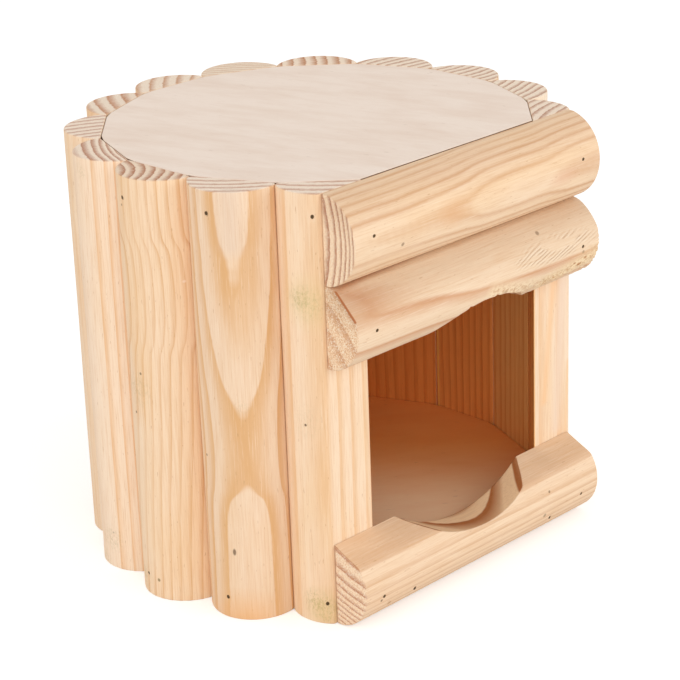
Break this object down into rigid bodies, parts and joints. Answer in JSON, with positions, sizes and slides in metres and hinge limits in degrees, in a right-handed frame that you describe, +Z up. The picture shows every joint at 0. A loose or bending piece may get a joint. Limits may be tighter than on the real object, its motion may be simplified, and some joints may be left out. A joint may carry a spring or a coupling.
{
  "type": "hamster house",
  "caption": "Round hamster house of upright half-round pine slats with flat roof and floor boards and an arched doorway between half-round rails.",
  "frame": {"origin": "under the middle of the house's outer box, on the surface it stands on", "axes": "+Z up, -Y out through the doorway, +X to the right seen from the front"},
  "size_m": [0.14, 0.131, 0.12],
  "materials": {
    "plywood": "bare sanded poplar-faced plywood, matt",
    "pine_slats": "bare planed pine, matt",
    "pine_rails": "bare planed pine with sawn cuts, matt",
    "brad_steel": "dull darkened steel wire"
  },
  "bodies": {
    "root": {"roof_panel": "plywood", "floor_panel": "plywood", "wall_slat_01": "pine_slats", "wall_slat_02": "pine_slats", "wall_slat_03": "pine_slats", "wall_slat_04": "pine_slats", "wall_slat_05": "pine_slats", "wall_slat_06": "pine_slats", "wall_slat_07": "pine_slats", "wall_slat_08": "pine_slats", "wall_slat_09": "pine_slats", "wall_slat_10": "pine_slats", "wall_slat_11": "pine_slats", "wall_slat_12": "pine_slats", "wall_slat_13": "pine_slats", "top_rail": "pine_rails", "arch_rail": "pine_rails", "sill_rail": "pine_rails", "roof_brads": "brad_steel", "floor_brads": "brad_steel", "top_rail_brads": "brad_steel", "arch_rail_brads": "brad_steel", "sill_rail_brads": "brad_steel"}
  },
  "joints": []
}
